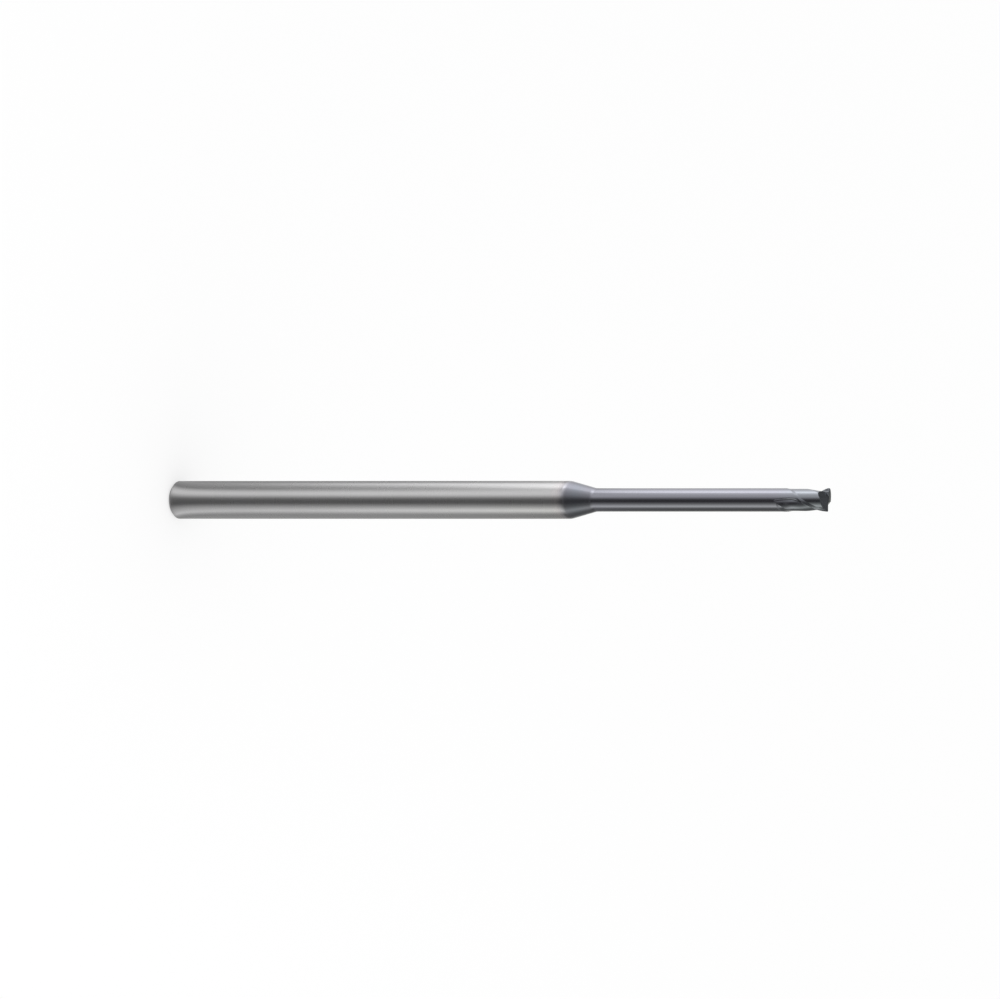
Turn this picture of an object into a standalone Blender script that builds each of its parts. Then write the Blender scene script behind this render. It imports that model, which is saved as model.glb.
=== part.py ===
"""Solid carbide end mill: two right-hand helical flutes on a long thin neck.

The tool stands on the flat end of its shank. Its axis is Z and its tip points up. The tool is
one ground piece, so it is made as it is ground: a turned blank, then one pair of cuts for each
operation, each cut placed by a station measured down from the tip.
"""

import math

import bmesh
import bpy
from mathutils import Matrix, Vector

MM = 0.001

# Shank and neck
OVERALL_LENGTH = 80.0 * MM
SHANK_DIAMETER = 4.0 * MM
SHANK_CHAMFER = 0.3 * MM
REACH = 28.3 * MM  # tip to the foot of the cone
CONE_HALF_ANGLE = math.radians(14.0)
CONE_BLEND_RADIUS = 2.0 * MM  # hollow between cone and neck
CONE_EDGE_RADIUS = 0.4 * MM  # softened edge between shank and cone

# Cutting head
CUT_DIAMETER = 2.5 * MM
CUT_LENGTH = 2.5 * MM
NECK_CLEARANCE = 0.015 * MM  # from the cutting radius down to the neck
HEAD_STEP_LENGTH = 0.15 * MM  # taper from neck to head
CORNER_RADIUS = 0.08 * MM
FLUTE_COUNT = 2
HELIX_ANGLE = math.radians(30.0)

# Flute section, in the plane across the axis
CORE_DIAMETER = 1.6 * MM
RAKE_ANGLE = math.radians(5.0)
FLUTE_FLOOR_RADIUS = 0.22 * MM
FLUTE_BACK_RADIUS = 0.95 * MM
FLUTE_SPAN = math.radians(79.0)  # cutting edge to heel
FLUTE_BACK_OVERRUN = math.radians(8.0)  # how far the back's arc runs on past the heel

# Where the flute wheel leaves the neck
FLUTE_LIFT_START = 4.0 * MM
FLUTE_EXIT_RADIUS = 4.5 * MM
FLUTE_EXIT_TURN = math.radians(25.0)  # from the cutting edge to the way out
FLUTE_END = 6.6 * MM
TWIST_END = 3.1 * MM
TWIST_EASE = 1.0 * MM

# Relief behind each cutting edge
BODY_CLEARANCE = 0.085 * MM  # from the cutting radius down to the body between the edges
RELIEF_ANGLE = math.radians(12.0)
MARGIN_WIDTH = 0.04 * MM
BODY_LIFT_START = 5.1 * MM  # where the wheel starts to leave the body
BODY_EXIT_RADIUS = 3.0 * MM
BODY_END = 6.1 * MM
LAND_START = 2.6 * MM  # where the relief starts to part from the cutting edge
LAND_SPREAD = math.radians(13.0) / MM  # and how fast it does
RELIEF_OVERRUN = math.radians(8.0)

# End teeth
DISH_ANGLE = math.radians(3.0)
END_RELIEF_ANGLE = math.radians(8.0)
END_RELIEF_WIDTH = 0.22 * MM
END_CLEARANCE_ANGLE = math.radians(20.0)
GASH_ANGLE = math.radians(38.0)  # fall of the gash from the middle outwards
GASH_SPREAD_ANGLE = math.radians(28.0)  # fall of the gash away from its lip
GASH_START = 0.35 * MM  # from the axis to the inner end of a lip
GASH_FLOOR_RADIUS = 0.1 * MM
LIP_TRIM = 0.02 * MM  # taken off the end face by the gash wheel

# Fineness of the facets
TURNED_STEPS = 96
ARC_STEPS = 8
STATION_STEP = 0.16 * MM
BODY_ARC_STEPS = 18
CUT_CLEARANCE = 0.6 * MM  # how far cutters stand out of the blank
EDGE_OVERRUN = 0.04 * MM  # fine facets of the rake face run on past the edge by this much
WELD_DISTANCE = 0.001 * MM
SHARP_EDGE_ANGLE = math.radians(25.0)

SHANK_RADIUS = SHANK_DIAMETER / 2
CUT_RADIUS = CUT_DIAMETER / 2
NECK_RADIUS = CUT_RADIUS - NECK_CLEARANCE
BODY_RADIUS = CUT_RADIUS - BODY_CLEARANCE
CORE_RADIUS = CORE_DIAMETER / 2
FLUTE_PITCH = 2 * math.pi / FLUTE_COUNT
TWIST_RATE = math.tan(HELIX_ANGLE) / CUT_RADIUS  # radians of turn for each metre of length


def clear_scene():
    for thing in list(bpy.data.objects):
        bpy.data.objects.remove(thing, do_unlink=True)


def carbide_material():
    """Fine-grained tungsten carbide under a thin dark nitride coating."""
    material = bpy.data.materials.new("coated_carbide")
    material.use_nodes = True
    shader = material.node_tree.nodes["Principled BSDF"]
    shader.inputs["Base Color"].default_value = (0.42, 0.42, 0.44, 1.0)
    shader.inputs["Metallic"].default_value = 1.0
    shader.inputs["Roughness"].default_value = 0.28
    return material


def add_object(name, bm):
    bmesh.ops.recalc_face_normals(bm, faces=bm.faces)
    mesh = bpy.data.meshes.new(name)
    bm.to_mesh(mesh)
    bm.free()
    thing = bpy.data.objects.new(name, mesh)
    bpy.context.scene.collection.objects.link(thing)
    return thing


def loft(name, sections):
    """One closed solid through closed sections that all have the same number of points."""
    bm = bmesh.new()
    loops = [[bm.verts.new(point) for point in section] for section in sections]
    count = len(loops[0])
    for low, high in zip(loops, loops[1:]):
        for i in range(count):
            j = (i + 1) % count
            bm.faces.new((low[i], low[j], high[j], high[i]))
    bm.faces.new(loops[0][::-1])
    bm.faces.new(loops[-1])
    return add_object(name, bm)


def polar(radius, angle):
    return Vector((radius * math.cos(angle), radius * math.sin(angle)))


def arc(centre, radius, start, end, steps):
    """Points of a circular arc in a plane, both ends included."""
    return [centre + polar(radius, start + (end - start) * i / steps) for i in range(steps + 1)]


def fillet(before, corner, after, radius, steps):
    """Points of the arc that rounds a corner between two straight runs."""
    run_in = (before - corner).normalized()
    run_out = (after - corner).normalized()
    half = run_in.angle(run_out) / 2
    centre = corner + (run_in + run_out).normalized() * radius / math.sin(half)
    start = corner + run_in * radius / math.tan(half) - centre
    end = corner + run_out * radius / math.tan(half) - centre
    sweep = start.angle_signed(end)  # clockwise is positive here
    return [centre + Matrix.Rotation(-sweep * i / steps, 2) @ start for i in range(steps + 1)]


def blank_outline():
    """Half outline of the turned blank, as (radius, height) from the foot to the tip."""
    cone_foot = OVERALL_LENGTH - REACH
    cone_height = (SHANK_RADIUS - NECK_RADIUS) / math.tan(CONE_HALF_ANGLE)
    head_foot = OVERALL_LENGTH - CUT_LENGTH
    foot_edge = Vector((SHANK_RADIUS - SHANK_CHAMFER, 0.0))
    shank_low = Vector((SHANK_RADIUS, SHANK_CHAMFER))
    cone_low = Vector((SHANK_RADIUS, cone_foot - cone_height))
    cone_high = Vector((NECK_RADIUS, cone_foot))
    neck_top = Vector((NECK_RADIUS, head_foot - HEAD_STEP_LENGTH))
    head_low = Vector((CUT_RADIUS, head_foot))
    corner = Vector((CUT_RADIUS, OVERALL_LENGTH))
    tip_middle = Vector((0.0, OVERALL_LENGTH))
    return [
        foot_edge,
        shank_low,
        *fillet(shank_low, cone_low, cone_high, CONE_EDGE_RADIUS, ARC_STEPS // 2),
        *fillet(cone_low, cone_high, neck_top, CONE_BLEND_RADIUS, ARC_STEPS // 2),
        neck_top,
        head_low,
        *fillet(head_low, corner, tip_middle, CORNER_RADIUS, ARC_STEPS // 2),
    ]


def make_blank():
    turns = [2 * math.pi * (i + 0.5) / TURNED_STEPS for i in range(TURNED_STEPS)]
    sections = [
        [Vector((*polar(radius, turn), height)) for turn in turns]
        for radius, height in blank_outline()
    ]
    return loft("end_mill", sections)


def stations(end):
    """Distances down from the tip at which a cutter has a section."""
    count = math.ceil((end + CUT_CLEARANCE) / STATION_STEP)
    return [-CUT_CLEARANCE + (end + CUT_CLEARANCE) * i / count for i in range(count + 1)]


def edge_turn(station):
    """Angle of the first cutting edge about the axis at a station."""
    return -TWIST_RATE * station


def flute_turn(station):
    """As edge_turn, but the wheel stops following the helix as it leaves the neck."""
    past = min(max(station - TWIST_END, 0.0), TWIST_EASE)
    followed = min(station, TWIST_END) + past - past * past / (2 * TWIST_EASE)
    return edge_turn(followed)


def wheel_lift(station, start, exit_radius):
    """How far a wheel that leaves on an arc has drawn out of its cut at a station."""
    past = min(max(station - start, 0.0), exit_radius)
    return exit_radius - math.sqrt(exit_radius**2 - past**2)


def meeting_point(centre_a, radius_a, centre_b, radius_b):
    """Where two circles cross, to the left of the way from the first centre to the second."""
    gap = centre_b - centre_a
    along = (gap.length_squared + radius_a**2 - radius_b**2) / (2 * gap.length)
    aside = math.sqrt(radius_a**2 - along**2)
    forward = gap.normalized()
    left = Vector((-forward.y, forward.x))
    return centre_a + forward * along + left * aside


def flute_section():
    """Section of the flute cutter, with the cutting edge on +X and the flute on its +Y side.

    The rake face runs in from the edge to a round floor that just touches the core. A slightly
    rounded back then rises to the heel.
    """
    edge = Vector((CUT_RADIUS, 0.0))
    rake = polar(1.0, RAKE_ANGLE)
    across = Vector((-rake.y, rake.x))
    floor_reach = CORE_RADIUS + FLUTE_FLOOR_RADIUS
    aside = edge.dot(across) + FLUTE_FLOOR_RADIUS
    floor_centre = rake * math.sqrt(floor_reach**2 - aside**2) + across * aside
    heel = polar(BODY_RADIUS, FLUTE_SPAN)
    back_reach = FLUTE_BACK_RADIUS + FLUTE_FLOOR_RADIUS
    back_centre = meeting_point(floor_centre, back_reach, heel, FLUTE_BACK_RADIUS)
    to_back = back_centre - floor_centre
    floor_start = math.atan2(-across.y, -across.x) % (2 * math.pi)
    floor_end = math.atan2(to_back.y, to_back.x) % (2 * math.pi)
    back_start = floor_end - math.pi
    to_heel = heel - back_centre
    back_end = math.atan2(to_heel.y, to_heel.x) + FLUTE_BACK_OVERRUN
    out = CUT_RADIUS + CUT_CLEARANCE * 2
    floor = arc(floor_centre, FLUTE_FLOOR_RADIUS, floor_start, floor_end, ARC_STEPS)
    back = arc(back_centre, FLUTE_BACK_RADIUS, back_start, back_end, ARC_STEPS)
    face = [edge + rake * (out - CUT_RADIUS), edge + rake * EDGE_OVERRUN]
    return [*face, *floor, *back[1:], back[-1].normalized() * out]


def make_flute_cutter(start_turn):
    section = flute_section()
    way_out = polar(1.0, FLUTE_EXIT_TURN)
    sections = []
    for station in stations(FLUTE_END):
        spin = Matrix.Rotation(flute_turn(station) + start_turn, 2)
        lift = way_out * wheel_lift(station, FLUTE_LIFT_START, FLUTE_EXIT_RADIUS)
        height = OVERALL_LENGTH - station
        sections.append([Vector((*(spin @ (point + lift)), height)) for point in section])
    return loft("flute_cutter", sections)


def body_section(station):
    """Section that clears the body from the flute's middle to the relief of the next edge.

    The relief is a spiral that climbs from the body to the full radius, and runs on past it.
    """
    spiral_rise = CUT_RADIUS * math.tan(RELIEF_ANGLE)  # for each radian of turn
    sweep = (CUT_RADIUS - BODY_RADIUS) / spiral_rise
    past = max(station - LAND_START, 0.0)
    next_edge = edge_turn(station) + FLUTE_PITCH
    foot = next_edge - MARGIN_WIDTH / CUT_RADIUS - sweep - LAND_SPREAD * past
    start = flute_turn(station) + FLUTE_EXIT_TURN
    radius = BODY_RADIUS + wheel_lift(station, BODY_LIFT_START, BODY_EXIT_RADIUS)
    end = foot + sweep + RELIEF_OVERRUN
    out = CUT_RADIUS + CUT_CLEARANCE * 2
    body = arc(Vector((0.0, 0.0)), radius, start, foot, BODY_ARC_STEPS)
    spiral = []
    for i in range(1, ARC_STEPS + 1):
        turn = (end - foot) * i / ARC_STEPS
        spiral.append(polar(radius + spiral_rise * turn, foot + turn))
    return [*body, *spiral, *arc(Vector((0.0, 0.0)), out, end, start, ARC_STEPS)]


def make_body_cutter(start_turn):
    spin = Matrix.Rotation(start_turn, 2)
    sections = []
    for station in stations(BODY_END):
        height = OVERALL_LENGTH - station
        sections.append([Vector((*(spin @ point), height)) for point in body_section(station)])
    return loft("body_cutter", sections)


def lip_drop(outward, behind):
    """How far the end face lies below the tip, outward along a lip and behind it."""
    dish = (CUT_RADIUS - CORNER_RADIUS - max(outward, 0.0)) * math.tan(DISH_ANGLE)
    first = min(behind, END_RELIEF_WIDTH) * math.tan(END_RELIEF_ANGLE)
    second = max(behind - END_RELIEF_WIDTH, 0.0) * math.tan(END_CLEARANCE_ANGLE)
    return dish + first + second


def make_end_cutter():
    """Both end faces in one cutter: each falls away behind its lip and towards the middle.

    The first lip lies along +X with its end face on the -Y side, and the second is the first
    turned by half a turn. The cutter's two halves meet over the lips, where the height steps.
    """
    out = CUT_RADIUS + CUT_CLEARANCE
    width = END_RELIEF_WIDTH
    bm = bmesh.new()
    low = {}
    top = {}
    for side in (1, -1):
        for outward in (-out, 0.0, out):
            for behind in (0.0, width, out):
                height = OVERALL_LENGTH - lip_drop(outward, behind)
                if (side, outward, behind) == (-1, 0.0, 0.0):
                    low[side, outward, behind] = low[1, 0.0, 0.0]
                else:
                    place = (side * outward, -side * behind, height)
                    low[side, outward, behind] = bm.verts.new(place)
        for behind in (0.0, out):
            place = (side * out, -side * behind, OVERALL_LENGTH + CUT_CLEARANCE)
            top[side, behind] = bm.verts.new(place)
        place = (-side * out, -side * out, OVERALL_LENGTH + CUT_CLEARANCE)
        top[side, -out] = bm.verts.new(place)
    for side in (1, -1):
        for left, right in ((-out, 0.0), (0.0, out)):
            for near, far in ((0.0, width), (width, out)):
                corners = ((left, near), (right, near), (right, far), (left, far))
                bm.faces.new([low[side, outward, behind] for outward, behind in corners])
        bm.faces.new((low[side, 0.0, 0.0], low[side, out, 0.0], low[-side, -out, 0.0]))
        lip_end = [low[side, out, behind] for behind in (0.0, width, out)]
        bm.faces.new((*lip_end, top[side, out], top[side, 0.0]))
        back = [low[side, outward, out] for outward in (out, 0.0, -out)]
        bm.faces.new((*back, top[side, -out], top[side, out]))
        far_end = [low[side, -out, behind] for behind in (out, width, 0.0)]
        bm.faces.new((*far_end, low[-side, out, 0.0], top[-side, 0.0], top[side, -out]))
    bm.faces.new([top[side, behind] for side in (1, -1) for behind in (0.0, out, -out)])
    return add_object("end_cutter", bm)


def make_gash_cutter(start_turn):
    """A notch in front of one lip. It falls outwards along the lip, and away from the lip.

    Its wall takes a hair off the end face, so the lip is one clean line.
    """
    out = CUT_RADIUS + CUT_CLEARANCE
    rise = Vector((0.0, out * 2))
    corner = Vector((-LIP_TRIM, 0.0))
    far = Vector((out, -out * math.tan(GASH_SPREAD_ANGLE)))
    floor = fillet(corner + rise, corner, far, GASH_FLOOR_RADIUS, ARC_STEPS)
    section = [corner + rise, *floor, far, far + rise * 2]
    spin = Matrix.Rotation(start_turn, 3, "Z")
    sections = []
    for outward in (-out, out):
        drop = lip_drop(GASH_START, 0.0) + (outward - GASH_START) * math.tan(GASH_ANGLE)
        height = OVERALL_LENGTH - drop
        places = [Vector((outward, point.x, height + point.y)) for point in section]
        sections.append([spin @ place for place in places])
    return loft("gash_cutter", sections)


def cut(blank, cutters):
    """Subtracts every cutter from the blank, and leaves the finished mesh on the blank."""
    for cutter in cutters:
        modifier = blank.modifiers.new(cutter.name, "BOOLEAN")
        modifier.object = cutter
        modifier.operation = "DIFFERENCE"
        modifier.solver = "EXACT"
    depsgraph = bpy.context.evaluated_depsgraph_get()
    bm = bmesh.new()
    bm.from_object(blank, depsgraph)
    blank.modifiers.clear()
    for cutter in cutters:
        bpy.data.objects.remove(cutter, do_unlink=True)
    bmesh.ops.remove_doubles(bm, verts=bm.verts, dist=WELD_DISTANCE)
    bmesh.ops.dissolve_degenerate(bm, edges=bm.edges, dist=WELD_DISTANCE)
    bm.to_mesh(blank.data)
    bm.free()
    blank.data.shade_smooth()
    blank.data.set_sharp_from_angle(angle=SHARP_EDGE_ANGLE)


def main():
    clear_scene()
    tool = make_blank()
    starts = [FLUTE_PITCH * i for i in range(FLUTE_COUNT)]
    cutters = [make_end_cutter()]
    cutters += [make_gash_cutter(start) for start in starts]
    cutters += [make_flute_cutter(start) for start in starts]
    cutters += [make_body_cutter(start) for start in starts]
    cut(tool, cutters)
    tool.data.materials.append(carbide_material())


main()
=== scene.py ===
"""Looks of the carbide end mill: its ground form made fine, its finish, and a plain studio."""

import logging
import math
from dataclasses import dataclass, field
from enum import Enum

import bmesh
import bpy
from mathutils import Matrix, Vector


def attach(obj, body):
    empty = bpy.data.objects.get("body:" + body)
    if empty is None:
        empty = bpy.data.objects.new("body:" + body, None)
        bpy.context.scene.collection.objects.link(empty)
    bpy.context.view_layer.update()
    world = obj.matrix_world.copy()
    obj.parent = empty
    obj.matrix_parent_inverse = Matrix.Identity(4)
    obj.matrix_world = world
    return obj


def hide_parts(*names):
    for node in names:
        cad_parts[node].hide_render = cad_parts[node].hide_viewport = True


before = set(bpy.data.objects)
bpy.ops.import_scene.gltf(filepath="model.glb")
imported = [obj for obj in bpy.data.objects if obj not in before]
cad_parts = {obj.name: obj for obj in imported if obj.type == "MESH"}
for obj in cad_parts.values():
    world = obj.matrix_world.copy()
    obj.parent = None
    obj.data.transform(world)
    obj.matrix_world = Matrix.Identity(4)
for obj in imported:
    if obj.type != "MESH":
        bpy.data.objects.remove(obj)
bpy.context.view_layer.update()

MM = 0.001
LOG = logging.getLogger("end_mill")

Ring = list[Vector]
Colour = tuple[float, float, float, float]


class Piece(Enum):
    """Names that the frame knows, and the name of the piece that stands for its node."""

    NODE = "end_mill"
    BODY = "root"
    SLOT = "coated_carbide"
    GROUND = "end_mill_ground"


def linear(hex_colour: str) -> Colour:
    """Turns an sRGB hex colour to linear light.

    Args:
        hex_colour: Six hex digits after a hash.

    Returns:
        Red, green, blue and an alpha of 1.
    """
    channels = [int(hex_colour[i : i + 2], 16) / 255 for i in (1, 3, 5)]
    light = [c / 12.92 if c <= 0.04045 else ((c + 0.055) / 1.055) ** 2.4 for c in channels]
    return (light[0], light[1], light[2], 1.0)


def add_node(
    tree: bpy.types.NodeTree,
    kind: str,
    settings: dict | None = None,
    values: dict | None = None,
    links: dict | None = None,
) -> bpy.types.Node:
    """Adds one node with its settings, constant inputs and links.

    Args:
        tree: Node tree that the node joins.
        kind: Blender's name for the node type.
        settings: Properties of the node by name.
        values: Constant inputs by socket name or number.
        links: Sockets of other nodes by the name or number of the input they feed.

    Returns:
        The new node.
    """
    node = tree.nodes.new(kind)
    for name, value in (settings or {}).items():
        setattr(node, name, value)
    for name, value in (values or {}).items():
        node.inputs[name].default_value = value
    for name, socket in (links or {}).items():
        tree.links.new(socket, node.inputs[name])
    return node


def polar(radius: float, angle: float) -> Vector:
    """Point of the plane at a radius and an angle."""
    return Vector((radius * math.cos(angle), radius * math.sin(angle)))


def arc(centre: Vector, radius: float, start: float, end: float, steps: int) -> Ring:
    """Points of a circular arc, both ends included.

    Args:
        centre: Middle of the circle.
        radius: Its radius.
        start: Angle of the first point.
        end: Angle of the last point.
        steps: Number of chords.

    Returns:
        The points in order.
    """
    return [centre + polar(radius, start + (end - start) * i / steps) for i in range(steps + 1)]


def fillet(before: Vector, corner: Vector, after: Vector, radius: float, steps: int) -> Ring:
    """Points of the arc that rounds a corner between two straight runs.

    Args:
        before: A point of the run that comes in.
        corner: Where the two runs would meet.
        after: A point of the run that goes out.
        radius: Radius of the rounding.
        steps: Number of chords.

    Returns:
        The points in order, both ends included.
    """
    run_in = (before - corner).normalized()
    run_out = (after - corner).normalized()
    half = run_in.angle(run_out) / 2
    centre = corner + (run_in + run_out).normalized() * radius / math.sin(half)
    start = corner + run_in * radius / math.tan(half) - centre
    end = corner + run_out * radius / math.tan(half) - centre
    sweep = start.angle_signed(end)
    return [centre + Matrix.Rotation(-sweep * i / steps, 2) @ start for i in range(steps + 1)]


def meeting_point(centre_a: Vector, radius_a: float, centre_b: Vector, radius_b: float) -> Vector:
    """Where two circles cross, to the left of the way from the first centre to the second.

    Args:
        centre_a: Centre of the first circle.
        radius_a: Its radius.
        centre_b: Centre of the second circle.
        radius_b: Its radius.

    Returns:
        The crossing point.
    """
    gap = centre_b - centre_a
    along = (gap.length_squared + radius_a**2 - radius_b**2) / (2 * gap.length)
    aside = math.sqrt(radius_a**2 - along**2)
    forward = gap.normalized()
    return centre_a + forward * along + Vector((-forward.y, forward.x)) * aside


def add_mesh(name: str, bm: bmesh.types.BMesh) -> bpy.types.Object:
    """Links a mesh to the scene as an object whose faces point out.

    Args:
        name: Name of the object and its mesh.
        bm: The mesh, which is freed.

    Returns:
        The new object.
    """
    bmesh.ops.recalc_face_normals(bm, faces=bm.faces)
    mesh = bpy.data.meshes.new(name)
    bm.to_mesh(mesh)
    bm.free()
    thing = bpy.data.objects.new(name, mesh)
    bpy.context.scene.collection.objects.link(thing)
    return thing


def loft(name: str, sections: list[Ring]) -> bpy.types.Object:
    """Makes one closed solid through closed sections of the same number of points.

    Args:
        name: Name of the object.
        sections: The sections in order.

    Returns:
        The new object.
    """
    bm = bmesh.new()
    loops = [[bm.verts.new(point) for point in section] for section in sections]
    count = len(loops[0])
    for low, high in zip(loops, loops[1:]):
        for i in range(count):
            j = (i + 1) % count
            bm.faces.new((low[i], low[j], high[j], high[i]))
    bm.faces.new(loops[0][::-1])
    bm.faces.new(loops[-1])
    return add_mesh(name, bm)


@dataclass(frozen=True)
class TurnedBlank:
    """The blank as the cylindrical grinder leaves it: shank, cone, neck and plain head."""

    length: float = 80.0 * MM
    shank_radius: float = 2.0 * MM
    shank_chamfer: float = 0.3 * MM
    shank_edge_radius: float = 0.08 * MM
    reach: float = 28.3 * MM
    cone_half_angle: float = math.radians(14.0)
    cone_blend_radius: float = 2.0 * MM
    cone_edge_radius: float = 2.0 * MM  # softer than in the CAD; moves the surface by 0.015 mm
    neck_radius: float = 1.235 * MM
    head_radius: float = 1.25 * MM
    head_length: float = 2.5 * MM
    head_step_length: float = 0.15 * MM
    corner_radius: float = 0.08 * MM
    ring_from: float = 7.2 * MM  # rings stand close together from here to the tip
    ring_step: float = 0.1 * MM
    turned_steps: int = 192
    bend_steps: int = 12

    def outline(self) -> Ring:
        """Half outline of the blank.

        Returns:
            Points as (radius, height), from the foot to the tip.
        """
        cone_foot = self.length - self.reach
        cone_height = (self.shank_radius - self.neck_radius) / math.tan(self.cone_half_angle)
        foot_edge = Vector((self.shank_radius - self.shank_chamfer, 0.0))
        shank_low = Vector((self.shank_radius, self.shank_chamfer))
        cone_low = Vector((self.shank_radius, cone_foot - cone_height))
        cone_high = Vector((self.neck_radius, cone_foot))
        neck_top = Vector((self.neck_radius, self.length - self.head_length - self.head_step_length))
        head_low = Vector((self.head_radius, self.length - self.head_length))
        corner = Vector((self.head_radius, self.length))
        steps = self.bend_steps
        return [
            foot_edge,
            *fillet(foot_edge, shank_low, cone_low, self.shank_edge_radius, steps),
            *fillet(shank_low, cone_low, cone_high, self.cone_edge_radius, steps),
            *fillet(cone_low, cone_high, neck_top, self.cone_blend_radius, steps),
            *self.close_rings(self.neck_radius, self.length - self.ring_from, neck_top.y),
            neck_top,
            head_low,
            *self.close_rings(self.head_radius, head_low.y, self.length - 2 * self.corner_radius),
            *fillet(head_low, corner, Vector((0.0, self.length)), self.corner_radius, steps),
        ]

    def close_rings(self, radius: float, low: float, high: float) -> Ring:
        """Outline points between two heights, so that the cuts meet small faces.

        Args:
            radius: Radius of the run.
            low: Height where the run starts.
            high: Height where it ends.

        Returns:
            Points strictly between the two heights.
        """
        count = math.ceil((high - low) / self.ring_step)
        return [Vector((radius, low + (high - low) * i / count)) for i in range(1, count)]

    def build(self, name: str) -> bpy.types.Object:
        """Makes the blank as one closed turned solid.

        Args:
            name: Name of the object.

        Returns:
            The blank.
        """
        turns = [2 * math.pi * (i + 0.5) / self.turned_steps for i in range(self.turned_steps)]
        sections = [
            [Vector((*polar(radius, turn), height)) for turn in turns]
            for radius, height in self.outline()
        ]
        return loft(name, sections)


@dataclass(frozen=True)
class CuttingHead:
    """The grinding wheels' cuts: flutes, relief, end teeth and gashes, measured from the tip."""

    blank: TurnedBlank
    flute_count: int = 2
    helix_angle: float = math.radians(30.0)
    core_radius: float = 0.8 * MM
    rake_angle: float = math.radians(5.0)
    floor_radius: float = 0.22 * MM
    back_radius: float = 0.95 * MM
    flute_span: float = math.radians(79.0)
    back_overrun: float = math.radians(8.0)
    flute_lift_start: float = 4.0 * MM
    flute_exit_radius: float = 4.5 * MM
    flute_exit_turn: float = math.radians(25.0)
    flute_end: float = 6.6 * MM
    twist_end: float = 3.1 * MM
    twist_ease: float = 1.0 * MM
    body_radius: float = 1.165 * MM
    relief_angle: float = math.radians(12.0)
    margin_width: float = 0.04 * MM
    body_lift_start: float = 5.1 * MM
    body_exit_radius: float = 3.0 * MM
    body_end: float = 6.1 * MM
    land_start: float = 2.6 * MM
    land_spread: float = math.radians(13.0) / MM
    relief_overrun: float = math.radians(8.0)
    dish_angle: float = math.radians(3.0)
    end_relief_angle: float = math.radians(8.0)
    end_relief_width: float = 0.22 * MM
    end_clearance_angle: float = math.radians(20.0)
    gash_angle: float = math.radians(38.0)
    gash_spread_angle: float = math.radians(28.0)
    gash_start: float = 0.35 * MM
    gash_floor_radius: float = 0.1 * MM
    lip_trim: float = 0.02 * MM
    arc_steps: int = 24
    body_steps: int = 40
    station_step: float = 0.06 * MM
    clearance: float = 0.6 * MM
    edge_overrun: float = 0.04 * MM

    @property
    def pitch(self) -> float:
        """Angle from one flute to the next."""
        return 2 * math.pi / self.flute_count

    @property
    def outside(self) -> float:
        """Radius well clear of the blank, where a swept section closes."""
        return self.blank.head_radius + self.clearance * 2

    def stations(self, end: float) -> list[float]:
        """Distances down from the tip at which a cutter has a section."""
        count = math.ceil((end + self.clearance) / self.station_step)
        return [-self.clearance + (end + self.clearance) * i / count for i in range(count + 1)]

    def edge_turn(self, station: float) -> float:
        """Angle of the first cutting edge about the axis at a station."""
        return -math.tan(self.helix_angle) / self.blank.head_radius * station

    def flute_turn(self, station: float) -> float:
        """As edge_turn, but the wheel stops following the helix as it leaves the neck.

        Args:
            station: Distance down from the tip.

        Returns:
            Angle of the first flute about the axis.
        """
        past = min(max(station - self.twist_end, 0.0), self.twist_ease)
        followed = min(station, self.twist_end) + past - past * past / (2 * self.twist_ease)
        return self.edge_turn(followed)

    def wheel_lift(self, station: float, start: float, exit_radius: float) -> float:
        """How far a wheel that leaves on an arc has drawn out of its cut.

        Args:
            station: Distance down from the tip.
            start: Station where the wheel starts to leave.
            exit_radius: Radius of the arc it leaves on.

        Returns:
            The lift in metres.
        """
        past = min(max(station - start, 0.0), exit_radius)
        return exit_radius - math.sqrt(exit_radius**2 - past**2)

    def flute_section(self) -> Ring:
        """Section of the flute: rake face, round floor, and a slightly rounded back.

        Returns:
            Points of the section, where the first flute's edge meets the tip.
        """
        edge = Vector((self.blank.head_radius, 0.0))
        rake = polar(1.0, self.rake_angle)
        across = Vector((-rake.y, rake.x))
        floor_reach = self.core_radius + self.floor_radius
        aside = edge.dot(across) + self.floor_radius
        floor_centre = rake * math.sqrt(floor_reach**2 - aside**2) + across * aside
        heel = polar(self.body_radius, self.flute_span)
        back_reach = self.back_radius + self.floor_radius
        back_centre = meeting_point(floor_centre, back_reach, heel, self.back_radius)
        to_back = back_centre - floor_centre
        to_heel = heel - back_centre
        floor_start = math.atan2(-across.y, -across.x) % (2 * math.pi)
        floor_end = math.atan2(to_back.y, to_back.x) % (2 * math.pi)
        back_end = math.atan2(to_heel.y, to_heel.x) + self.back_overrun
        floor = arc(floor_centre, self.floor_radius, floor_start, floor_end, self.arc_steps)
        back = arc(back_centre, self.back_radius, floor_end - math.pi, back_end, self.arc_steps)
        overshoot = self.outside - self.blank.head_radius
        face = [edge + rake * overshoot, edge + rake * self.edge_overrun]
        return [*face, *floor, *back[1:], back[-1].normalized() * self.outside]

    def flute_cutter(self, start_turn: float) -> bpy.types.Object:
        """Sweeps the flute's section up the helix and out of the neck.

        Args:
            start_turn: Angle of the flute's edge at the tip.

        Returns:
            The cutter.
        """
        section = self.flute_section()
        way_out = polar(1.0, self.flute_exit_turn)
        sections = []
        for station in self.stations(self.flute_end):
            spin = Matrix.Rotation(self.flute_turn(station) + start_turn, 2)
            lift = self.wheel_lift(station, self.flute_lift_start, self.flute_exit_radius)
            height = self.blank.length - station
            sections.append(
                [Vector((*(spin @ (point + way_out * lift)), height)) for point in section]
            )
        return loft("flute_cutter", sections)

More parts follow.
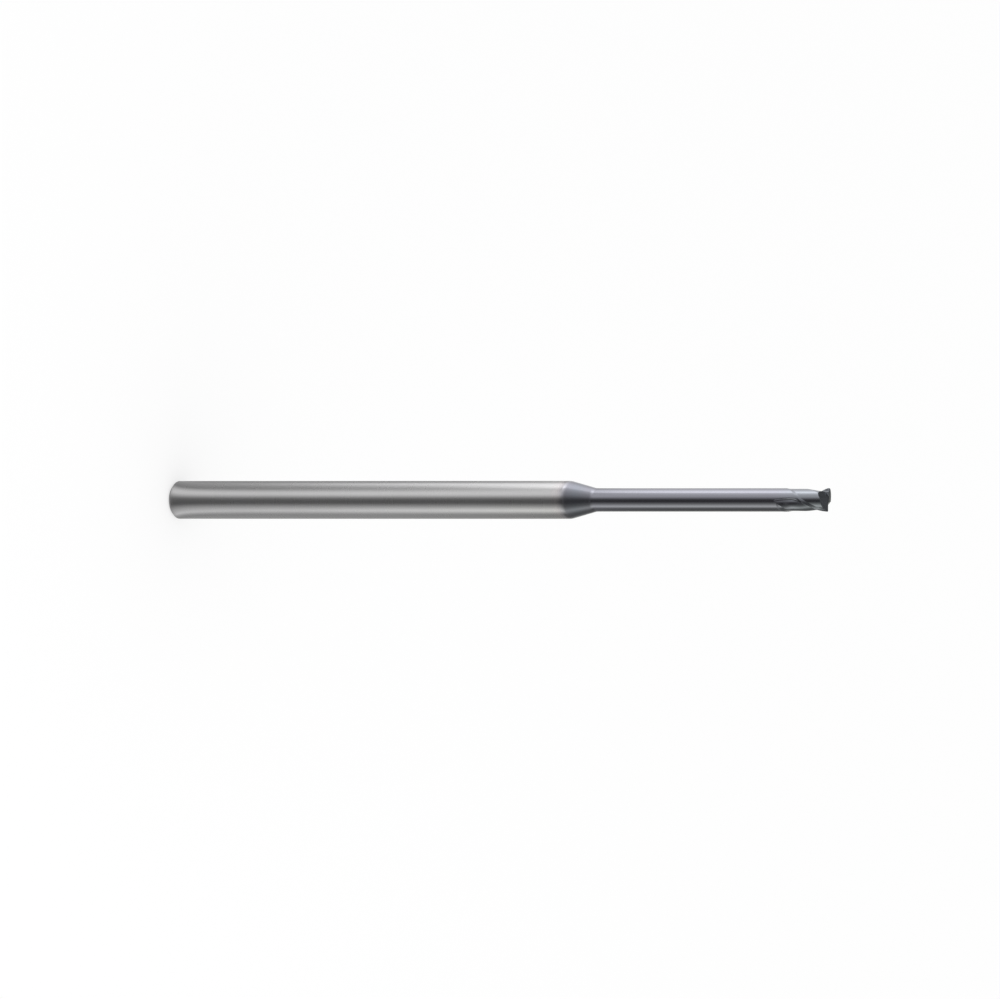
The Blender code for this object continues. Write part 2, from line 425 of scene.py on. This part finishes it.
    def body_section(self, station: float) -> Ring:
        """Section that clears the body from the flute's middle to the next edge's relief.

        Args:
            station: Distance down from the tip.

        Returns:
            Points of the section, for the first flute.
        """
        spiral_rise = self.blank.head_radius * math.tan(self.relief_angle)
        sweep = (self.blank.head_radius - self.body_radius) / spiral_rise
        past = max(station - self.land_start, 0.0)
        margin = self.margin_width / self.blank.head_radius
        foot = self.edge_turn(station) + self.pitch - margin - sweep - self.land_spread * past
        start = self.flute_turn(station) + self.flute_exit_turn
        lift = self.wheel_lift(station, self.body_lift_start, self.body_exit_radius)
        radius = self.body_radius + lift
        end = foot + sweep + self.relief_overrun
        axis = Vector((0.0, 0.0))
        body = arc(axis, radius, start, foot, self.body_steps)
        spiral = []
        for i in range(1, self.arc_steps + 1):
            turn = (end - foot) * i / self.arc_steps
            spiral.append(polar(radius + spiral_rise * turn, foot + turn))
        return [*body, *spiral, *arc(axis, self.outside, end, start, self.arc_steps)]

    def body_cutter(self, start_turn: float) -> bpy.types.Object:
        """Sweeps the body's section up the head.

        Args:
            start_turn: Angle of the flute's edge at the tip.

        Returns:
            The cutter.
        """
        spin = Matrix.Rotation(start_turn, 2)
        sections = []
        for station in self.stations(self.body_end):
            height = self.blank.length - station
            section = self.body_section(station)
            sections.append([Vector((*(spin @ point), height)) for point in section])
        return loft("body_cutter", sections)

    def lip_drop(self, outward: float, behind: float) -> float:
        """How far the end face lies below the tip.

        Args:
            outward: Distance from the axis along the lip.
            behind: Distance behind the lip.

        Returns:
            The drop in metres.
        """
        corner_end = self.blank.head_radius - self.blank.corner_radius
        dish = (corner_end - max(outward, 0.0)) * math.tan(self.dish_angle)
        first = min(behind, self.end_relief_width) * math.tan(self.end_relief_angle)
        past = max(behind - self.end_relief_width, 0.0)
        return dish + first + past * math.tan(self.end_clearance_angle)

    def end_cutter(self) -> bpy.types.Object:
        """Makes both end faces: each falls away behind its lip and towards the middle.

        Returns:
            The cutter.
        """
        out = self.blank.head_radius + self.clearance
        width = self.end_relief_width
        top_height = self.blank.length + self.clearance
        bm = bmesh.new()
        low = {}
        top = {}
        for side in (1, -1):
            for outward in (-out, 0.0, out):
                for behind in (0.0, width, out):
                    if (side, outward, behind) == (-1, 0.0, 0.0):
                        low[side, outward, behind] = low[1, 0.0, 0.0]
                        continue
                    height = self.blank.length - self.lip_drop(outward, behind)
                    place = (side * outward, -side * behind, height)
                    low[side, outward, behind] = bm.verts.new(place)
            top[side, 0.0] = bm.verts.new((side * out, 0.0, top_height))
            top[side, out] = bm.verts.new((side * out, -side * out, top_height))
            top[side, -out] = bm.verts.new((-side * out, -side * out, top_height))
        for side in (1, -1):
            for left, right in ((-out, 0.0), (0.0, out)):
                for near, far in ((0.0, width), (width, out)):
                    corners = ((left, near), (right, near), (right, far), (left, far))
                    bm.faces.new([low[side, outward, behind] for outward, behind in corners])
            bm.faces.new((low[side, 0.0, 0.0], low[side, out, 0.0], low[-side, -out, 0.0]))
            lip_end = [low[side, out, behind] for behind in (0.0, width, out)]
            bm.faces.new((*lip_end, top[side, out], top[side, 0.0]))
            back = [low[side, outward, out] for outward in (out, 0.0, -out)]
            bm.faces.new((*back, top[side, -out], top[side, out]))
            far_end = [low[side, -out, behind] for behind in (out, width, 0.0)]
            bm.faces.new((*far_end, low[-side, out, 0.0], top[-side, 0.0], top[side, -out]))
        bm.faces.new([top[side, behind] for side in (1, -1) for behind in (0.0, out, -out)])
        return add_mesh("end_cutter", bm)

    def gash_cutter(self, start_turn: float) -> bpy.types.Object:
        """Makes the notch in front of one lip, which frees the lip almost to the middle.

        Args:
            start_turn: Angle of the lip about the axis.

        Returns:
            The cutter.
        """
        out = self.blank.head_radius + self.clearance
        rise = Vector((0.0, out * 2))
        corner = Vector((-self.lip_trim, 0.0))
        far = Vector((out, -out * math.tan(self.gash_spread_angle)))
        floor = fillet(corner + rise, corner, far, self.gash_floor_radius, self.arc_steps)
        section = [corner + rise, *floor, far, far + rise * 2]
        spin = Matrix.Rotation(start_turn, 3, "Z")
        sections = []
        for outward in (-out, out):
            fall = (outward - self.gash_start) * math.tan(self.gash_angle)
            height = self.blank.length - self.lip_drop(self.gash_start, 0.0) - fall
            places = [Vector((outward, point.x, height + point.y)) for point in section]
            sections.append([spin @ place for place in places])
        return loft("gash_cutter", sections)

    def cutters(self) -> list[bpy.types.Object]:
        """Makes every cutter.

        Returns:
            The cutters, in the order in which the cuts are made.
        """
        starts = [self.pitch * i for i in range(self.flute_count)]
        made = [self.end_cutter()]
        made += [self.gash_cutter(start) for start in starts]
        made += [self.flute_cutter(start) for start in starts]
        made += [self.body_cutter(start) for start in starts]
        return made


@dataclass(frozen=True)
class DrawnNoise:
    """Noise that changes at one rate round the tool and at another along it."""

    around: float  # changes to a metre
    along: float
    detail: float
    roughness: float

    def build(self, tree: bpy.types.NodeTree, place: bpy.types.NodeSocket) -> bpy.types.NodeSocket:
        """Adds the pattern to a material.

        Args:
            tree: The material's nodes.
            place: Object coordinates in metres.

        Returns:
            A factor from 0 to 1.
        """
        drawn_out = add_node(
            tree,
            "ShaderNodeMapping",
            values={"Scale": (self.around, self.around, self.along)},
            links={"Vector": place},
        )
        noise = add_node(
            tree,
            "ShaderNodeTexNoise",
            values={"Scale": 1.0, "Detail": self.detail, "Roughness": self.roughness},
            links={"Vector": drawn_out.outputs["Vector"]},
        )
        return noise.outputs["Fac"]


@dataclass(frozen=True)
class GroundCarbide:
    """Cemented tungsten carbide, ground round: a bright neutral grey metal with fine rings.

    The grains are too small to see, so the eye gets long clean reflections. The wheel leaves
    rings about 0.02 mm apart, drawn 0.16 mm apart so that they show at all.
    """

    colour: str = "#CDCDCE"
    shade: str = "#C2C1C1"
    roughness: float = 0.28
    ring_spacing: float = 0.16 * MM
    ring_depth: float = 0.00035 * MM
    ring_strength: float = 0.35

    def rings(self) -> DrawnNoise:
        """Grinding rings: noise that changes fast up the tool and slowly round it."""
        return DrawnNoise(0.12 / MM, 0.5 / self.ring_spacing, 5.0, 0.65)


@dataclass(frozen=True)
class NitrideCoating:
    """Titanium-aluminium nitride, laid on in a vacuum: a thin dark skin with a lilac cast.

    The coating is a few thousandths of a millimetre thick, so it keeps the ground form and its
    gloss, and turns the bright carbide to a deep violet grey.
    """

    colour: str = "#92939B"
    shade: str = "#8B8A94"
    roughness: float = 0.17
    start_height: float = 48.5 * MM
    fade_length: float = 1.4 * MM
    ragged: float = 0.2 * MM
    ragged_rate: float = 0.9 / MM
    ragged_detail: float = 3.0
    tints: tuple[tuple[float, tuple[float, float, float]], ...] = (  # height and tint
        (46.9 * MM, (1.0, 1.0, 1.0)),
        (48.0 * MM, (1.02, 0.985, 0.99)),
        (49.9 * MM, (0.95, 1.0, 1.0)),
        (51.1 * MM, (1.0, 1.0, 1.0)),
        (74.0 * MM, (1.0, 1.0, 1.0)),
        (77.0 * MM, (0.98, 1.035, 1.0)),
    )


@dataclass(frozen=True)
class CoatedCarbideFinish:
    """The tool's one surface: bare ground carbide below, nitride coating above.

    A soft cloud of tone lies over both, a few millimetres across and drawn out along the tool.
    """

    carbide: GroundCarbide = field(default_factory=GroundCarbide)
    coating: NitrideCoating = field(default_factory=NitrideCoating)
    cloud: DrawnNoise = DrawnNoise(0.45 / MM, 0.09 / MM, 4.0, 0.6)
    stretch: float = 0.6  # how far the rings draw each highlight out along the tool
    stretch_turn: float = 0.25  # of a full turn
    unevenness: float = 0.03  # of the roughness, from ring to ring

    def make(self, name: str) -> bpy.types.Material:
        """Builds the material.

        Args:
            name: Name of the material.

        Returns:
            The material, with a metal shader whose colour, roughness and bump have patterns.
        """
        material = bpy.data.materials.new(name)
        material.use_nodes = True
        tree = material.node_tree
        shader = tree.nodes["Principled BSDF"]
        shader.inputs["Metallic"].default_value = 1.0
        shader.inputs["Anisotropic"].default_value = self.stretch
        shader.inputs["Anisotropic Rotation"].default_value = self.stretch_turn
        place = add_node(tree, "ShaderNodeTexCoord").outputs["Object"]
        height = add_node(tree, "ShaderNodeSeparateXYZ", links={0: place}).outputs["Z"]
        coated = self.coated(tree, place, height)
        cloud = self.cloud.build(tree, place)
        rings = self.carbide.rings().build(tree, place)
        carbide = self.two_tone(tree, cloud, self.carbide.colour, self.carbide.shade)
        coating = self.two_tone(tree, cloud, self.coating.colour, self.coating.shade)
        colour = add_node(
            tree,
            "ShaderNodeMix",
            settings={"data_type": "RGBA"},
            links={"Factor": coated, 6: carbide, 7: coating},
        )
        tinted = add_node(
            tree,
            "ShaderNodeMix",
            settings={"data_type": "RGBA", "blend_type": "MULTIPLY"},
            values={"Factor": 1.0},
            links={6: colour.outputs[2], 7: self.coat_tint(tree, height)},
        )
        tree.links.new(tinted.outputs[2], shader.inputs["Base Color"])
        tree.links.new(self.roughness(tree, coated, rings), shader.inputs["Roughness"])
        bump = add_node(
            tree,
            "ShaderNodeBump",
            values={"Strength": self.carbide.ring_strength, "Distance": self.carbide.ring_depth},
            links={"Height": rings},
        )
        tree.links.new(bump.outputs["Normal"], shader.inputs["Normal"])
        return material

    def coated(
        self,
        tree: bpy.types.NodeTree,
        place: bpy.types.NodeSocket,
        height: bpy.types.NodeSocket,
    ) -> bpy.types.NodeSocket:
        """How far a point is coated, from 0 on the bare shank to 1 above the ragged fade.

        Args:
            tree: The material's nodes.
            place: Object coordinates in metres.
            height: Height above the foot in metres.

        Returns:
            A factor from 0 to 1.
        """
        wander = add_node(
            tree,
            "ShaderNodeTexNoise",
            values={"Scale": self.coating.ragged_rate, "Detail": self.coating.ragged_detail},
            links={"Vector": place},
        )
        shifted = add_node(
            tree,
            "ShaderNodeMath",
            settings={"operation": "MULTIPLY_ADD"},
            values={1: self.coating.ragged},
            links={0: wander.outputs["Fac"], 2: height},
        )
        start = self.coating.start_height - self.coating.fade_length / 2
        fade = add_node(
            tree,
            "ShaderNodeMapRange",
            settings={"interpolation_type": "SMOOTHSTEP"},
            values={"From Min": start, "From Max": start + self.coating.fade_length},
            links={"Value": shifted.outputs[0]},
        )
        return fade.outputs["Result"]

    def coat_tint(
        self, tree: bpy.types.NodeTree, height: bpy.types.NodeSocket
    ) -> bpy.types.NodeSocket:
        """Faint colours of the coating's thickness: rose and steel at its edge, steel at the head.

        Args:
            tree: The material's nodes.
            height: Height above the foot in metres.

        Returns:
            A colour near white to multiply by.
        """
        low, high = self.coating.tints[0][0], self.coating.tints[-1][0]
        along = add_node(
            tree,
            "ShaderNodeMapRange",
            values={"From Min": low, "From Max": high},
            links={"Value": height},
        )
        ramp = add_node(tree, "ShaderNodeValToRGB", links={"Fac": along.outputs["Result"]})
        elements = ramp.color_ramp.elements
        elements.remove(elements[1])
        for level, tint in self.coating.tints:
            position = (level - low) / (high - low)
            element = elements.new(position) if position else elements[0]
            element.color = (*tint, 1.0)
        return ramp.outputs["Color"]

    def two_tone(
        self, tree: bpy.types.NodeTree, cloud: bpy.types.NodeSocket, colour: str, shade: str
    ) -> bpy.types.NodeSocket:
        """Drifts between a finish's two close tones.

        Args:
            tree: The material's nodes.
            cloud: Factor from 0 to 1.
            colour: Hex colour of the finish.
            shade: Hex colour where it is a little darker.

        Returns:
            The colour.
        """
        mixed = add_node(
            tree,
            "ShaderNodeMix",
            settings={"data_type": "RGBA"},
            values={6: linear(shade), 7: linear(colour)},
            links={"Factor": cloud},
        )
        return mixed.outputs[2]

    def roughness(
        self,
        tree: bpy.types.NodeTree,
        coated: bpy.types.NodeSocket,
        rings: bpy.types.NodeSocket,
    ) -> bpy.types.NodeSocket:
        """Roughness of carbide and coating, a little uneven from ring to ring.

        Args:
            tree: The material's nodes.
            coated: Factor from 0 to 1.
            rings: Height of the grinding rings.

        Returns:
            The roughness.
        """
        finish = add_node(
            tree,
            "ShaderNodeMix",
            values={2: self.carbide.roughness, 3: self.coating.roughness},
            links={"Factor": coated},
        )
        spread = add_node(
            tree,
            "ShaderNodeMapRange",
            values={"To Min": -self.unevenness, "To Max": self.unevenness},
            links={"Value": rings},
        )
        uneven = add_node(
            tree,
            "ShaderNodeMath",
            settings={"operation": "ADD"},
            links={0: finish.outputs[0], 1: spread.outputs["Result"]},
        )
        return uneven.outputs[0]


@dataclass(frozen=True)
class EndMill:
    """The whole tool: one piece of carbide, which stands for the frame's one node."""

    blank: TurnedBlank = field(default_factory=TurnedBlank)
    finish: CoatedCarbideFinish = field(default_factory=CoatedCarbideFinish)
    weld_distance: float = 0.0005 * MM
    sharp_edge_angle: float = math.radians(9.5)

    def build(self) -> bpy.types.Object:
        """Turns the blank, grinds the head, dresses it and puts it on its body.

        Returns:
            The tool.
        """
        tool = self.blank.build(Piece.GROUND.value)
        self.grind(tool, CuttingHead(self.blank).cutters())
        tool.data.materials.append(self.finish.make("coated_ground_carbide"))
        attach(tool, Piece.BODY.value)
        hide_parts(Piece.NODE.value)
        return tool

    def grind(self, tool: bpy.types.Object, cutters: list[bpy.types.Object]) -> None:
        """Takes every cutter off the blank, and marks the ground edges as sharp.

        Args:
            tool: The blank, whose mesh becomes the finished one.
            cutters: The cutters, which are removed.
        """
        for cutter in cutters:
            modifier = tool.modifiers.new(cutter.name, "BOOLEAN")
            modifier.object = cutter
            modifier.operation = "DIFFERENCE"
            modifier.solver = "EXACT"
        bm = bmesh.new()
        bm.from_object(tool, bpy.context.evaluated_depsgraph_get())
        tool.modifiers.clear()
        for cutter in cutters:
            bpy.data.objects.remove(cutter, do_unlink=True)
        bmesh.ops.remove_doubles(bm, verts=bm.verts, dist=self.weld_distance)
        bmesh.ops.dissolve_degenerate(bm, edges=bm.edges, dist=self.weld_distance)
        # Two faces that share three corners in a row could be cut along the same triangle.
        lone_corners = [vert for vert in bm.verts if len(vert.link_edges) == 2]
        bmesh.ops.dissolve_verts(bm, verts=lone_corners)
        bm.to_mesh(tool.data)
        bm.free()
        tool.data.shade_smooth()
        tool.data.set_sharp_from_angle(angle=self.sharp_edge_angle)


@dataclass(frozen=True)
class PhotoCamera:
    """A long lens beside and above the tip, turned so that the tool lies across the picture."""

    facing: float = math.radians(-84.0)  # angle about the tool's axis that faces the camera
    elevation: float = math.radians(30.85)
    lens: float = 1200.0
    sensor: float = 36.0
    frame_width: float = 105.4 * MM  # what the picture takes in at the tool's middle
    middle_column: float = 501.1  # where the tool's middle falls in the picture
    middle_row: float = 499.9
    picture_width: int = 1000
    picture_height: int = 999
    middle_height: float = 40.0 * MM
    clip_near: float = 0.1  # of the camera's distance
    clip_far: float = 2.0

    def build(self) -> bpy.types.Object:
        """Makes the camera and places it so that the tool falls where it should.

        Returns:
            The camera.
        """
        facing = Vector((math.cos(self.facing), math.sin(self.facing), 0.0))
        axis = Vector((0.0, 0.0, 1.0))
        back = facing * math.cos(self.elevation) + axis * math.sin(self.elevation)
        right = (axis - back * axis.dot(back)).normalized()
        up = back.cross(right)
        pixel = self.frame_width / self.picture_width
        across = (self.middle_column - self.picture_width / 2) * pixel
        below = (self.middle_row - self.picture_height / 2) * pixel
        middle = axis * self.middle_height - right * across + up * below
        data = bpy.data.cameras.new("photo_camera")
        data.lens = self.lens
        data.sensor_width = self.sensor
        distance = self.frame_width * self.lens / self.sensor
        data.clip_start = distance * self.clip_near
        data.clip_end = distance * self.clip_far
        camera = bpy.data.objects.new("photo_camera", data)
        bpy.context.scene.collection.objects.link(camera)
        turn = Matrix((right, up, back)).transposed().to_4x4()
        camera.matrix_world = Matrix.Translation(middle + back * distance) @ turn
        bpy.context.scene.camera = camera
        return camera


@dataclass(frozen=True)
class Softbox:
    """One soft lamp, placed round the tool by the side of the photograph it lights from."""

    name: str
    around: float  # angle about the axis from the camera's side, positive towards the picture's foot
    distance: float
    height: float
    width: float
    tall: float
    brightness: float  # radiance, where 1 is white
    aim_height: float = 40.0 * MM

    def build(self, facing: float) -> bpy.types.Object:
        """Makes the lamp and turns it to the tool.

        Args:
            facing: Angle about the axis that faces the camera.

        Returns:
            The lamp.
        """
        data = bpy.data.lights.new(self.name, "AREA")
        data.shape = "RECTANGLE"
        data.size = self.width
        data.size_y = self.tall
        data.energy = self.brightness * math.pi * self.width * self.tall
        lamp = bpy.data.objects.new(self.name, data)
        bpy.context.scene.collection.objects.link(lamp)
        spot = polar(self.distance, facing + self.around)
        lamp.location = Vector((*spot, self.height))
        aim = Vector((0.0, 0.0, self.aim_height)) - lamp.location
        lamp.rotation_euler = aim.to_track_quat("-Z", "Y").to_euler()
        lamp.visible_camera = False
        return lamp


@dataclass(frozen=True)
class TentLight:
    """How bright the tent is at one place round the tool, where 1 is white. In the floor, painted
    light.
    """

    degrees: float  # round the axis from the camera's side, positive towards the picture's foot
    near: float  # in the floor at the shank's foot
    middle: float  # where the top of the shank mirrors the floor
    far: float  # where the neck does
    beyond: float  # where the cone and the flutes do
    level: float  # about the horizon, in the floor and the wall


@dataclass(frozen=True)
class Studio:
    """White floor and tent round the tool, with a dark flag in front, and a soft lamp. Tent and flag
    are world light, and painted light in the floor that only reflections see.
    """

    facing: float
    floor_radius: float = 1.6
    floor_sides: int = 96
    card_colour: str = "#E8E8E8"
    card_roughness: float = 0.9
    shadow_share: float = 0.35  # of the card, which the shadow falls on, in what the camera sees
    shadow_reach: float = 350 * MM
    middle_at: float = 72 * MM
    far_from: float = 79 * MM
    far_at: float = 96 * MM
    beyond_from: float = 140 * MM
    beyond_at: float = 300 * MM
    level_from: float = 450 * MM
    level_at: float = 700 * MM
    roof: float = 0.14  # brightness overhead, where 1 is white
    roof_at: float = 0.3  # height of a unit vector that points to the roof's edge
    foot_from: float = 2.1 * MM
    foot_at: float = 2.8 * MM
    painted_foot_glow: float = 0.36  # painted light in the part of the floor that the foot's chamfer mirrors
    cast_from: float = 30.0  # degrees; from here to the back the far light has less blue
    cast: tuple[float, float, float] = (0.98, 1.0, 0.93)

    def build(self) -> None:
        """Makes the floor, the tent and the lamp."""
        LOG.info("%s: %.1f m radius", self.floor().name, self.floor_radius)
        self.tent()
        around = math.radians(50)
        lamp = Softbox("box_over", around, 210 * MM, 420 * MM, 560 * MM, 560 * MM, 0.9)
        LOG.info("%s: radiance %.1f", lamp.build(self.facing).name, lamp.brightness)

    def tent_lights(self) -> list[TentLight]:
        """White walls of the tent and the dark gaps between them, all round the tool."""
        return [
            TentLight(-180, 0.38, 0.55, 0.90, 0.25, 0.22),
            TentLight(-135, 0.33, 0.26, 0.92, 0.90, 0.50),
            TentLight(-110, 0.44, 1.26, 1.56, 1.45, 1.05),
            TentLight(-80, 0.35, 0.43, 2.75, 1.50, 1.10),
            TentLight(-68, 0.29, 0.44, 1.50, 1.10, 0.90),
            TentLight(-46, 0.86, 1.02, 0.98, 0.70, 0.68),
            TentLight(-33, 0.90, 1.02, 0.88, 0.55, 0.54),
            TentLight(-9, 0.20, 0.20, 0.20, 0.22, 0.15),
            TentLight(4, 0.12, 0.11, 0.07, 0.17, 0.05),
            TentLight(20, 0.11, 0.10, 0.08, 0.15, 0.07),
            TentLight(41, 0.48, 0.45, 0.42, 0.24, 0.23),
            TentLight(68, 0.84, 1.10, 1.22, 0.74, 0.50),
            TentLight(80, 0.52, 0.80, 0.62, 0.56, 0.42),
            TentLight(95, 0.34, 0.42, 0.21, 0.34, 0.30),
            TentLight(125, 0.42, 0.38, 0.20, 0.20, 0.22),
            TentLight(180, 0.38, 0.50, 0.80, 0.20, 0.22),
        ]

    def direction(
        self, tree: bpy.types.NodeTree, outwards: bpy.types.NodeSocket
    ) -> bpy.types.NodeSocket:
        """Where a place lies round the tool.

        Args:
            tree: Nodes of the floor or the world.
            outwards: A vector that points from the tool's axis outwards.

        Returns:
            A number from 0 to 1 for -180 to 180 degrees from the camera's side.
        """
        turned = add_node(
            tree,
            "ShaderNodeVectorRotate",
            settings={"rotation_type": "Z_AXIS"},
            values={"Angle": -self.facing},
            links={"Vector": outwards},
        )
        parts = add_node(tree, "ShaderNodeSeparateXYZ", links={0: turned.outputs["Vector"]})
        angle = add_node(
            tree,
            "ShaderNodeMath",
            settings={"operation": "ARCTAN2"},
            links={0: parts.outputs["Y"], 1: parts.outputs["X"]},
        )
        place = add_node(
            tree,
            "ShaderNodeMapRange",
            values={"From Min": -math.pi, "From Max": math.pi},
            links={"Value": angle.outputs[0]},
        )
        return place.outputs["Result"]

    def ring_of_light(
        self,
        tree: bpy.types.NodeTree,
        place: bpy.types.NodeSocket,
        levels: list[float],
        cast: tuple[float, float, float] = (1.0, 1.0, 1.0),
    ) -> bpy.types.NodeSocket:
        """Brightness of the tent round the tool.

        Args:
            tree: Nodes of the floor or the world.
            place: A number from 0 to 1 for the way round.
            levels: Brightness at each of the tent's lights.
            cast: Tint of the lights on the side of the picture's foot.

        Returns:
            The light's colour.
        """
        ramp = add_node(tree, "ShaderNodeValToRGB", links={"Fac": place})
        elements = ramp.color_ramp.elements
        elements.remove(elements[1])
        for light, level in zip(self.tent_lights(), levels):
            position = (light.degrees + 180) / 360
            element = elements.new(position) if position else elements[0]
            element.position = position
            tint = cast if light.degrees > self.cast_from else (1.0, 1.0, 1.0)
            element.color = (*(level * share for share in tint), 1.0)
        return ramp.outputs["Color"]

    def floor(self) -> bpy.types.Object:
        """A round white floor. The camera sees it white, with the tool's shadow on it.

        Metal sees painted tent light glowing in it, so that the tool reads the same down to its
        foot.

        Returns:
            The floor.
        """
        bm = bmesh.new()
        sides = self.floor_sides
        bmesh.ops.create_circle(bm, cap_ends=True, segments=sides, radius=self.floor_radius)
        floor = add_mesh("floor", bm)
        material = bpy.data.materials.new("white_card")
        material.use_nodes = True
        tree = material.node_tree
        outwards = add_node(tree, "ShaderNodeTexCoord").outputs["Object"]
        away = add_node(
            tree, "ShaderNodeVectorMath", settings={"operation": "LENGTH"}, links={0: outwards}
        ).outputs["Value"]
        rays = add_node(tree, "ShaderNodeLightPath").outputs
        card = self.card(tree, away, rays["Is Camera Ray"])
        light = self.painted_floor_light(tree, outwards, away)
        # the floor glows with painted tent light, which only glossy rays see
        tent = add_node(tree, "ShaderNodeEmission", links={"Color": light})
        to_metal = add_node(
            tree,
            "ShaderNodeMixShader",
            links={0: rays["Is Glossy Ray"], 1: card, 2: tent.outputs[0]},
        )
        output = tree.nodes["Material Output"]
        tree.links.new(to_metal.outputs[0], output.inputs["Surface"])
        floor.data.materials.append(material)
        return floor

    def card(
        self,
        tree: bpy.types.NodeTree,
        away: bpy.types.NodeSocket,
        camera_ray: bpy.types.NodeSocket,
    ) -> bpy.types.NodeSocket:
        """White card, which the camera sees mixed with plain white.

        Args:
            tree: The floor's nodes.
            away: Distance from the tool's axis in metres.
            camera_ray: 1 for what the camera sees straight on.

        Returns:
            The shader.
        """
        card = tree.nodes["Principled BSDF"]
        card.inputs["Base Color"].default_value = linear(self.card_colour)
        card.inputs["Roughness"].default_value = self.card_roughness
        white_share = self.ease(tree, away, 0.0, self.shadow_reach, 1 - self.shadow_share, 1.0)
        seen = add_node(
            tree,
            "ShaderNodeMath",
            settings={"operation": "MULTIPLY"},
            links={0: white_share, 1: camera_ray},
        )
        white = add_node(tree, "ShaderNodeEmission")
        mixed = add_node(
            tree,
            "ShaderNodeMixShader",
            links={0: seen.outputs[0], 1: card.outputs[0], 2: white.outputs[0]},
        )
        return mixed.outputs[0]

    def painted_floor_light(
        self,
        tree: bpy.types.NodeTree,
        outwards: bpy.types.NodeSocket,
        away: bpy.types.NodeSocket,
    ) -> bpy.types.NodeSocket:
        """Painted light: the tent's light glowing in the floor for metal to mirror, in rings round
        the foot.

        Args:
            tree: The floor's nodes.
            outwards: A vector that points from the tool's axis outwards.
            away: Distance from the tool's axis in metres.

        Returns:
            The light's colour.
        """
        place = self.direction(tree, outwards)
        lights = self.tent_lights()
        lit = self.ring_of_light(tree, place, [light.near for light in lights])
        for levels, cast, start, end in (
            ([light.middle for light in lights], (1.0, 1.0, 1.0), 0.0, self.middle_at),
            ([light.far for light in lights], self.cast, self.far_from, self.far_at),
            ([light.beyond for light in lights], self.cast, self.beyond_from, self.beyond_at),
            ([light.level for light in lights], self.cast, self.level_from, self.level_at),
        ):
            mixed = add_node(
                tree,
                "ShaderNodeMix",
                settings={"data_type": "RGBA"},
                links={
                    "Factor": self.ease(tree, away, start, end, 0.0, 1.0),
                    6: lit,
                    7: self.ring_of_light(tree, place, levels, cast),
                },
            )
            lit = mixed.outputs[2]
        # painted light: an even, dimmer glow right round the foot, for the chamfer to mirror
        past_foot = self.ease(tree, away, self.foot_from, self.foot_at, 0.0, 1.0)
        around_foot = add_node(
            tree,
            "ShaderNodeMix",
            settings={"data_type": "RGBA"},
            values={6: (self.painted_foot_glow, self.painted_foot_glow, self.painted_foot_glow, 1.0)},
            links={"Factor": past_foot, 7: lit},
        )
        return around_foot.outputs[2]

    def ease(
        self,
        tree: bpy.types.NodeTree,
        value: bpy.types.NodeSocket,
        start: float,
        end: float,
        low: float,
        high: float,
    ) -> bpy.types.NodeSocket:
        """Goes softly from one level to another.

        Args:
            tree: Nodes of the floor or the world.
            value: What the level depends on.
            start: Where the level starts to change.
            end: Where it has changed.
            low: Level up to the start.
            high: Level from the end on.

        Returns:
            The level.
        """
        eased = add_node(
            tree,
            "ShaderNodeMapRange",
            settings={"interpolation_type": "SMOOTHSTEP"},
            values={"From Min": start, "From Max": end, "To Min": low, "To Max": high},
            links={"Value": value},
        )
        return eased.outputs["Result"]

    def tent(self) -> None:
        """The world: white to the camera and the floor, the tent's light to the metal."""
        world = bpy.data.worlds.new("tent")
        bpy.context.scene.world = world
        world.use_nodes = True
        tree = world.node_tree
        outwards = add_node(tree, "ShaderNodeTexCoord").outputs["Generated"]
        place = self.direction(tree, outwards)
        lights = self.tent_lights()
        height = add_node(tree, "ShaderNodeSeparateXYZ", links={0: outwards}).outputs["Z"]
        rays = add_node(tree, "ShaderNodeLightPath").outputs
        lit = add_node(
            tree,
            "ShaderNodeMix",
            settings={"data_type": "RGBA"},
            links={
                "Factor": self.ease(tree, height, 0.0, self.roof_at, 0.0, 1.0),
                6: self.ring_of_light(tree, place, [light.level for light in lights]),
            },
            values={7: (self.roof, self.roof, self.roof, 1.0)},
        )
        light = add_node(tree, "ShaderNodeBackground", links={"Color": lit.outputs[2]})
        white = add_node(tree, "ShaderNodeBackground", values={"Color": (1.0, 1.0, 1.0, 1.0)})
        mixed = add_node(
            tree,
            "ShaderNodeMixShader",
            links={0: rays["Is Glossy Ray"], 1: white.outputs[0], 2: light.outputs[0]},
        )
        output = tree.nodes["World Output"]
        tree.links.new(mixed.outputs[0], output.inputs["Surface"])


def main() -> None:
    """Builds the tool, the camera and the studio, and reports each."""
    logging.basicConfig(level=logging.INFO, format="%(name)s: %(message)s")
    tool = EndMill().build()
    LOG.info("%s: %d faces", tool.name, len(tool.data.polygons))
    camera = PhotoCamera()
    LOG.info("%s: %.0f mm lens", camera.build().name, camera.lens)
    Studio(camera.facing).build()
    bpy.context.scene.view_settings.view_transform = "Standard"


if __name__ == "__main__":
    main()
